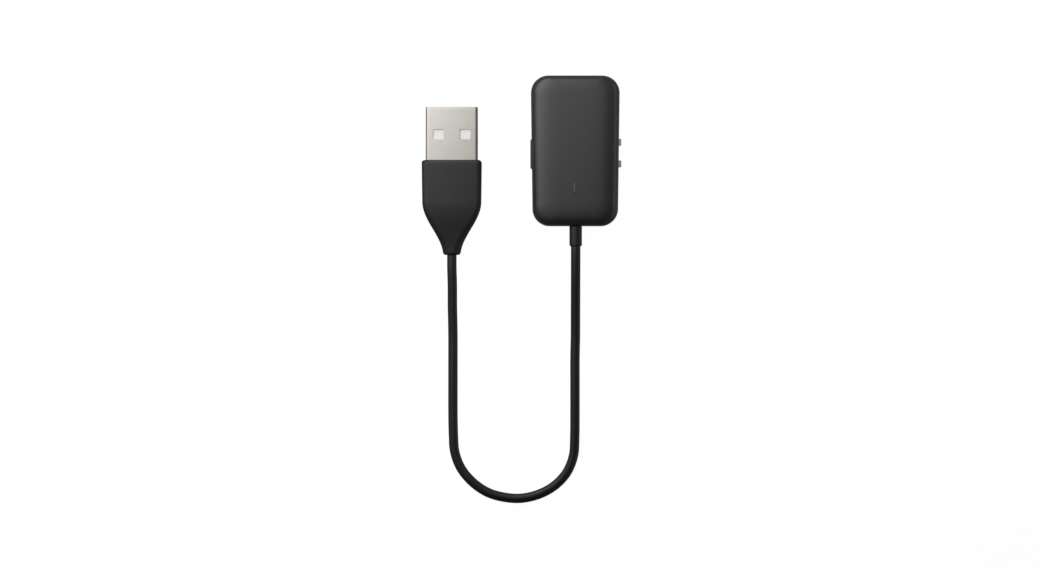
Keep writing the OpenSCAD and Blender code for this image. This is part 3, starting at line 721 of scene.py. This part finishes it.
def base_inner_supports(z):
    """Screw posts, board posts, the slider's guides and its springs' stops, from height z up."""
    pieces = [upright(x, y, z, SEAM_Z - 2 * FIT, POST_R) for x, y in screw_places()]
    board_x, board_y = board_screws_high.x - BOARD_HEAD_R, board_screws_high.y - BOARD_HEAD_R
    for side in (-1, 1):
        pieces.append(upright(side * board_x, board_y, z, BOARD_POST_TOP_Z, BOARD_POST_R, 40))
        for (x0, x1), offset, half, top_z in ((GUIDE_X, GUIDE_OFFSET, GUIDE_HALF_T, GUIDE_TOP_Z),
                                              (STOP_X, STOP_OFFSET, STOP_HALF_W, STOP_TOP_Z)):
            y = SLIDER_Y + side * offset
            pieces.append(box((x0, y - half, z), (x1, y + half, top_z)))
    return pieces


def fixed_hooks():
    """Two hooks on the button's side that hold one edge of the tracker."""
    out_x = -half_width(0) + HOOK_INSET
    in_x = out_x + HOOK_T
    # Down the outer side and round the foot, around the barb, and up the inner side
    outer = [(out_x, FLOOR_Z), (out_x, 0.25 * MM), (out_x + 0.1 * MM, 0.08 * MM), (out_x + 0.25 * MM, 0)]
    tip_x = in_x + BARB
    barb = [(tip_x - 0.15 * MM, 0), (tip_x - 0.04 * MM, 0.05 * MM), (tip_x, 0.15 * MM),
            (tip_x, 0.45 * MM), (tip_x - 0.08 * MM, 0.56 * MM)]
    profile = outer + barb + [(in_x, 1.1 * MM), (in_x, FLOOR_Z)]
    hooks = []
    for side in (-1, 1):
        y = prong_mid.y + side * PRONG_HALF_PITCH
        ends = (y - HOOK_HALF_W, y + HOOK_HALF_W)
        hooks.append(loft("tool", [[(x, end, z) for x, z in profile] for end in ends]))
    return hooks


def make_contact_block():
    """Moulded block around the four contacts, with a flange behind its opening in the base."""
    block = contact_body(BLOCK_FIT, block_low.z, FLOOR_Z + OVERLAP)
    soften(block, BLOCK_SOFT)
    boolean(block, [box((block_low.x, block_low.y, FLOOR_Z), block_high)], "UNION")
    pins = [size_of(f"plunger_{i}")[2] for i in PINS]
    boolean(block, [upright(pin.x, pin.y, 0, block_high.z + MM, BARREL_R) for pin in pins])
    shade(block, 35)
    even = block.modifiers.new("even", "WEIGHTED_NORMAL")
    even.keep_sharp = True
    return block


# ---------- Springs ----------

def make_coil(name, start, axis, length, radius, wire):
    """Compression spring with closed ends, wound around an axis from start."""
    axis = Vector(axis)
    side = axis.orthogonal().normalized()
    up = axis.cross(side)
    turns, steps, wire_sides = SPRING_TURNS, 24, 10
    pitch = (length - 3 * wire) / (turns - 2)
    round_wire = [2 * math.pi * k / wire_sides for k in range(wire_sides)]
    rings = []
    for i in range(turns * steps + 1):
        turn = i / steps
        closed_turns = min(turn, 1) + max(0, turn - turns + 1)
        open_turns = min(max(turn - 1, 0), turns - 2)
        rise = wire * (0.5 + closed_turns) + pitch * open_turns
        out = side * math.cos(2 * math.pi * turn) + up * math.sin(2 * math.pi * turn)
        middle = Vector(start) + axis * rise + out * (radius - wire / 2)
        rings.append([middle + (axis * math.cos(a) + out * math.sin(a)) * wire / 2 for a in round_wire])
    coil = loft(name, rings)
    shade(coil, 60)
    return coil


def squeeze(coil):
    """Gives the spring a mesh of its own."""
    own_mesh(coil)


def make_latch_springs():
    """The two springs in the slider's windows, as one piece like their CAD node."""
    low, high, middle = size_of("latch_springs")
    length = high.x - low.x
    radius = (high.z - low.z) / 2
    coils = [make_coil("latch_spring", (low.x, y, middle.z), (1, 0, 0), length, radius, LATCH_WIRE)
             for y in (low.y + radius, high.y - radius)]
    springs = boolean(coils[0], coils[1:], "UNION")
    finish_piece(springs, "latch_coil_springs", spring_steel, "spring_steel", "latch_springs")
    squeeze(springs)


def make_contact_spring(i):
    """The spring over one plunger."""
    low, high, middle = size_of(f"plunger_spring_{i}")
    length = high.z - low.z
    spring = make_coil("contact_spring", (middle.x, middle.y, low.z), (0, 0, 1), length,
                       (high.y - low.y) / 2, CONTACT_WIRE)
    finish_piece(spring, f"contact_coil_spring_{i}", spring_steel, "spring_steel", f"plunger_spring_{i}")
    squeeze(spring)


# ---------- Cable and plug ----------

def make_cable():
    """The cable as one smooth curve through its route, with the same handles as the CAD's."""
    curve = bpy.data.curves.new("cable_jacket", "CURVE")
    curve.dimensions = "3D"
    curve.bevel_depth = CABLE_D / 2
    curve.bevel_resolution = 10
    curve.resolution_u = 12
    curve.use_fill_caps = True
    spline = curve.splines.new("BEZIER")
    spline.bezier_points.add(len(CABLE_ROUTE) - 1)
    points = [Vector(p) for p in CABLE_ROUTE]
    for i, point in enumerate(points):
        before, after = points[max(i - 1, 0)], points[min(i + 1, len(points) - 1)]
        handle = (after - before) / 6
        knot = spline.bezier_points[i]
        knot.co = point
        knot.handle_left = point - handle
        knot.handle_right = point + handle
    return link(bpy.data.objects.new("cable_jacket", curve))


def make_strain_relief():
    """Sleeve with a rounded end, a neck through the pod's wall and a flange behind it."""
    bore, lip = CABLE_D / 2, 0.05 * MM
    neck_r, flange_r = NECK_R - FIT, FLANGE_R - FIT
    sleeve_l = NEAR_Y - relief_low.y
    full_l = relief_high.y - relief_low.y
    profile = [(0, bore + lip)]
    profile += [(RELIEF_END_R * (1 - math.sin(a)), RELIEF_R - RELIEF_END_R * (1 - math.cos(a)))
                for a in reversed(arc_angles(8))]
    profile += [(sleeve_l - RELIEF_CHAMFER, RELIEF_R), (sleeve_l, RELIEF_R - RELIEF_CHAMFER),
                (sleeve_l, neck_r), (sleeve_l + WALL, neck_r), (sleeve_l + WALL, flange_r),
                (full_l, flange_r), (full_l, bore), (lip, bore)]
    relief = turned("strain_relief", (relief_mid.x, relief_low.y, SEAM_Z), profile)
    shade(relief)
    return relief


def grip_section(d, inset):
    """Section of the overmold at distance d from its mouth."""
    full_w = (grip_high.x - grip_low.x) / 2 - GRIP_TAPER * min(d, GRIP_STRAIGHT)
    full_h = (grip_high.z - grip_low.z) / 2
    shrink = 0.5 + 0.5 * math.cos(math.pi * min(max((d - GRIP_STRAIGHT) / GRIP_CURVE_L, 0), 1))
    half_w = TAIL_HALF + (full_w - TAIL_HALF) * shrink - inset
    half_h = TAIL_HALF + (full_h - TAIL_HALF) * shrink - inset
    edge_r = GRIP_EDGE_R + (TAIL_HALF - GRIP_EDGE_R) * (1 - shrink)
    r = min(half_w, half_h, edge_r) - FIT
    return [(grip_mid.x + x, grip_high.y - d, grip_mid.z + z)
            for x, z in section(half_w, half_h, r, GRIP_BULGE * shrink)]


def make_overmold():
    """Overmold with room for the shell, the inner mould, the crimp collar and the cable."""
    length = grip_high.y - grip_low.y
    curve_l = length - GRIP_TAIL_R - GRIP_STRAIGHT
    straight_steps, curve_steps = 8, 40
    turn = arc_angles(8)
    rings = [grip_section(GRIP_MOUTH_R * (1 - math.sin(a)), GRIP_MOUTH_R * (1 - math.cos(a)))
             for a in reversed(turn)]
    rings += [grip_section(GRIP_MOUTH_R + (GRIP_STRAIGHT - GRIP_MOUTH_R) * i / straight_steps, 0)
              for i in range(1, straight_steps + 1)]
    rings += [grip_section(GRIP_STRAIGHT + curve_l * i / curve_steps, 0) for i in range(1, curve_steps)]
    rings += [grip_section(length - GRIP_TAIL_R * (1 - math.sin(a)), GRIP_TAIL_R * (1 - math.cos(a)))
              for a in turn]
    grip = loft("overmold", rings)
    x, z = grip_mid.x, grip_mid.z
    mouth = section((shell_high.x - shell_low.x) / 2, (shell_high.z - shell_low.z) / 2, SHELL_R)
    ends = (shell_low.y, grip_high.y + MM)
    shell_room = loft("tool", [[(x + sx, end, z + sz) for sx, sz in mouth] for end in ends])
    crimp_r = (crimp_high.x - crimp_low.x) / 2
    crimp_room = rod((x, crimp_low.y, z), (x, mold_low.y + OVERLAP, z), crimp_r)
    cable_room = rod((x, grip_low.y - MM, z), (x, crimp_low.y + OVERLAP, z), CABLE_D / 2)
    boolean(grip, [shell_room, box(mold_low, mold_high), crimp_room, cable_room])
    soften(grip, GRIP_SOFT)
    shade(grip)
    return grip


def shell_ring(y, inset):
    """Outline of the shell's section at y, moved in by inset."""
    half_w, half_h = (shell_high.x - shell_low.x) / 2, (shell_high.z - shell_low.z) / 2
    ring = section(half_w - inset, half_h - inset, SHELL_R - inset, SHELL_BULGE)
    return [(shell_mid.x + x, y, shell_mid.z + z) for x, z in ring]


def make_plug_shell():
    """Folded sheet with a rounded front edge, latch holes in both faces and a seam underneath."""
    lip_r = SHEET / 2
    front, back = shell_high.y - lip_r, shell_low.y + MM
    # Many rings along the flat faces keep their shading even around the holes
    steps = 30
    rings = [shell_ring(shell_low.y, 0)]
    rings += [shell_ring(back + (front - back) * i / steps, 0) for i in range(steps)]
    rings += [shell_ring(front + lip_r * math.sin(a), lip_r * (1 - math.cos(a)))
              for a in arc_angles(10, 180)]
    rings += [shell_ring(back, SHEET), shell_ring(shell_low.y, SHEET)]
    shell = loft("plug_shell", rings, closed=True)
    cuts = [latch_hole(side) for side in (-1, 1)]
    cuts.append(box((shell_mid.x - SHELL_HALF_SEAM, shell_low.y - MM, shell_low.z - MM),
                    (shell_mid.x + SHELL_HALF_SEAM, shell_high.y + MM, shell_low.z + MM)))
    boolean(shell, cuts)
    soften(shell, SHELL_SOFT, segments=2)
    shade(shell)
    return shell


def latch_hole(side):
    """Cut for one pair of square latch holes, through both faces."""
    x, y = shell_mid.x + side * HOLE_X, grip_high.y + HOLE_Y
    outline = section(HOLE_HALF_W, HOLE_HALF_L, HOLE_R, steps=4)
    heights = (shell_low.z - MM, shell_high.z + MM)
    return loft("tool", [[(x + hx, y + hy, z) for hx, hy in outline] for z in heights])


# ---------- Build ----------

make_camera()
cable = finish_piece(make_cable(), "cable_jacket", cable_tpe, "cable_rubber", "cable")
relief = finish_piece(make_strain_relief(), "relief_sleeve", cable_tpe, "cable_rubber", "strain_relief")
overmold = finish_piece(make_overmold(), "plug_grip", overmold_tpe, "overmold_rubber", "plug_overmold")
plug_shell = finish_piece(make_plug_shell(), "plug_metal_shell", shell_metal, "nickel_shell",
                          "plug_shell")
finish_piece(make_top_shell(), "pod_top_shell", black_pc, "black_polycarbonate", "top_cover")
finish_piece(make_base_shell(), "pod_base_shell", black_pc, "black_polycarbonate", "base_cover")
finish_piece(make_contact_block(), "contact_carrier", black_polymer, "black_polymer", "contact_block")
make_latch_springs()
for i in PINS:
    make_contact_spring(i)

# For each CAD node that stays: its material and the width of its rounded edges in millimetres
NODE_LOOKS = {
    "base_screws": (screw_steel, 0.05),
    "light_pipe": (smoked, 0.04),
    "circuit_board": (solder_mask, 0.03),
    "board_screws": (screw_steel, 0.04),
    "control_chip": (chip_resin, 0.05),
    "board_components": (ceramic, 0.03),
    "status_led": (led_lens, 0.04),
    "pin_barrels": (gold, 0.02),
    "latch_slider": (black_polymer, 0.12),
    "latch_prongs": (steel, 0.1),
    "pod_cable_end": (cable_tpe, 0),
    "crimp_collar": (screw_steel, 0.04),
    "plug_cable_end": (cable_tpe, 0),
    "plug_inner_mold": (natural_pe, 0.1),
    "plug_insulator": (white_lcp, 0.06),
    "plug_contacts": (gold, 0.03),
}
for i in PINS:
    NODE_LOOKS[f"plunger_{i}"] = (plunger_gold, 0.03)
WIRE_COLORS = {
    "red": (0.55, 0.02, 0.015),
    "black": (0.02, 0.02, 0.02),
    "green": (0.02, 0.3, 0.07),
    "white": (0.78, 0.78, 0.75),
}
for color_name, color in WIRE_COLORS.items():
    wire_jacket = insulation(f"{color_name}_insulation", color).material
    for place in ("pod", "plug"):
        NODE_LOOKS[f"{place}_{color_name}_wire"] = (wire_jacket, 0)
for node, (material, width) in NODE_LOOKS.items():
    dress(node, material, width * MM)


# ---------- Studio ----------

FLOOR_HALF = 3.0
BACKDROP_R = 2.9
BACKDROP_Z = (-0.5, 4)
# The softbox: its extent and height
SOFTBOX_X = (-0.4, 0.3)
SOFTBOX_Y = (-0.12, 0.4)
SOFTBOX_Z = 0.09
# Its glow at the left and the right, and where one fades into the other
SOFTBOX_GLOW = (2.6, 0.32)
SOFTBOX_FADE_X = (-0.055, 0.04)
# Its left end is dimmer, so that the plug's shell isn't too bright from other angles
SOFTBOX_END = (0.35, 1.0)
SOFTBOX_END_X = (-0.26, -0.12)
# Its glow along the table: positions run from 0 to 1 over this stretch, near end first
SOFTBOX_FADE_Y = (-0.12, 0.04)
SOFTBOX_RAMP = [(0.0, 0.0), (0.25, 0.18), (0.55, 0.24), (0.8, 0.75), (0.95, 1.0)]
# The light on the right
RIM_SIZE = (0.7, 0.1)
RIM_PLACE = (0.45, -0.03, 0.1)
RIM_TARGET = (0, -0.03, 0)
RIM_POWER = 0.2
# Glow of the air against height: 0 at the horizon, 1 straight up
AIR_RAMP = [(0.0, 0.2), (0.12, 0.5), (0.3, 0.4), (0.6, 0.08), (1.0, 0.05)]
# Share of that glow against direction: less towards the near side
AIR_NEAR = {"From Min": -0.9, "From Max": -0.1, "To Min": 0.15, "To Max": 1.0}


def level_panel(name, x_ends, y_ends, z):
    """Flat rectangle that faces up or down."""
    (x0, x1), (y0, y1) = x_ends, y_ends
    return mesh_object(name, [(x0, y0, z), (x1, y0, z), (x1, y1, z), (x0, y1, z)], [[0, 1, 2, 3]])


def glowing(obj, color, glow):
    """Plain studio surface that glows, so that shadows on it stay faint."""
    n = Nodes(f"{obj.name}_white")
    n.set(Base_Color=(color, color, color, 1), Roughness=0.9, Specular_IOR_Level=0.0,
          Emission_Color=(1, 1, 1, 1), Emission_Strength=glow)
    obj.data.materials.append(n.material)


def make_floor():
    """Pale floor that isn't mirrored in the object's sides."""
    floor = level_panel("studio_floor", (-FLOOR_HALF, FLOOR_HALF), (-FLOOR_HALF, FLOOR_HALF), 0)
    floor.visible_glossy = False
    glowing(floor, 0.1, 0.97)


def make_backdrop():
    """Pale wall around the floor, which only the camera sees."""
    sides = 64
    turn = [2 * math.pi * i / sides for i in range(sides)]
    rings = [[(BACKDROP_R * math.cos(a), BACKDROP_R * math.sin(a), z) for a in turn] for z in BACKDROP_Z]
    wall = loft("studio_wall", rings)
    for ray in ("diffuse", "glossy", "transmission", "volume_scatter", "shadow"):
        setattr(wall, f"visible_{ray}", False)
    glowing(wall, 0.3, 0.95)


def fill_ramp(node, stops):
    """Gives a colour ramp smooth grey stops of (position, grey)."""
    ramp = node.color_ramp
    ramp.interpolation = "B_SPLINE"
    ramp.elements.remove(ramp.elements[1])
    for i, (position, grey) in enumerate(stops):
        stop = ramp.elements[0] if i == 0 else ramp.elements.new(position)
        stop.position = position
        stop.color = (grey, grey, grey, 1)


def make_softbox():
    """Diffuser over the table, unseen by the camera: brighter on its left and dimmer at its near end."""
    panel = level_panel("softbox", SOFTBOX_X, SOFTBOX_Y, SOFTBOX_Z)
    panel.visible_camera = False
    n = Nodes("softbox_glow")
    across = n.spread(n.along("X"), *SOFTBOX_GLOW, *SOFTBOX_FADE_X)
    across = n.math("MULTIPLY", across, n.spread(n.along("X"), *SOFTBOX_END, *SOFTBOX_END_X))
    along = n.add("ShaderNodeValToRGB")
    fill_ramp(along, SOFTBOX_RAMP)
    n.join(n.spread(n.along("Y"), 0, 1, *SOFTBOX_FADE_Y), along.inputs["Fac"])
    n.set(Base_Color=(0, 0, 0, 1), Specular_IOR_Level=0.0, Emission_Color=(1, 1, 1, 1))
    n.join(n.math("MULTIPLY", across, along.outputs["Color"]), n.shader.inputs["Emission Strength"])
    panel.data.materials.append(n.material)


def make_rim_light():
    """Low strip on the right that draws the right edges."""
    data = bpy.data.lights.new("right_rim", "AREA")
    data.shape = "RECTANGLE"
    data.size, data.size_y = RIM_SIZE
    data.energy = RIM_POWER
    light = link(bpy.data.objects.new("right_rim", data))
    light.location = RIM_PLACE
    light.rotation_euler = (Vector(RIM_TARGET) - light.location).to_track_quat("-Z", "Y").to_euler()
    light.visible_camera = False


def make_world():
    """Dim air that is lighter in a low ring all around, so that upright sides show their shape."""
    world = bpy.data.worlds.new("studio_air")
    world.use_nodes = True
    nodes, links = world.node_tree.nodes, world.node_tree.links
    direction = nodes.new("ShaderNodeSeparateXYZ")
    links.new(nodes.new("ShaderNodeTexCoord").outputs["Generated"], direction.inputs["Vector"])
    near = nodes.new("ShaderNodeMapRange")
    for name, value in AIR_NEAR.items():
        near.inputs[name].default_value = value
    links.new(direction.outputs["Y"], near.inputs["Value"])
    ramp = nodes.new("ShaderNodeValToRGB")
    fill_ramp(ramp, AIR_RAMP)
    links.new(direction.outputs["Z"], ramp.inputs["Fac"])
    links.new(ramp.outputs["Color"], nodes["Background"].inputs["Color"])
    links.new(near.outputs["Result"], nodes["Background"].inputs["Strength"])
    bpy.context.scene.world = world


make_floor()
make_backdrop()
make_world()
make_softbox()
make_rim_light()
bpy.context.scene.view_settings.view_transform = "Standard"
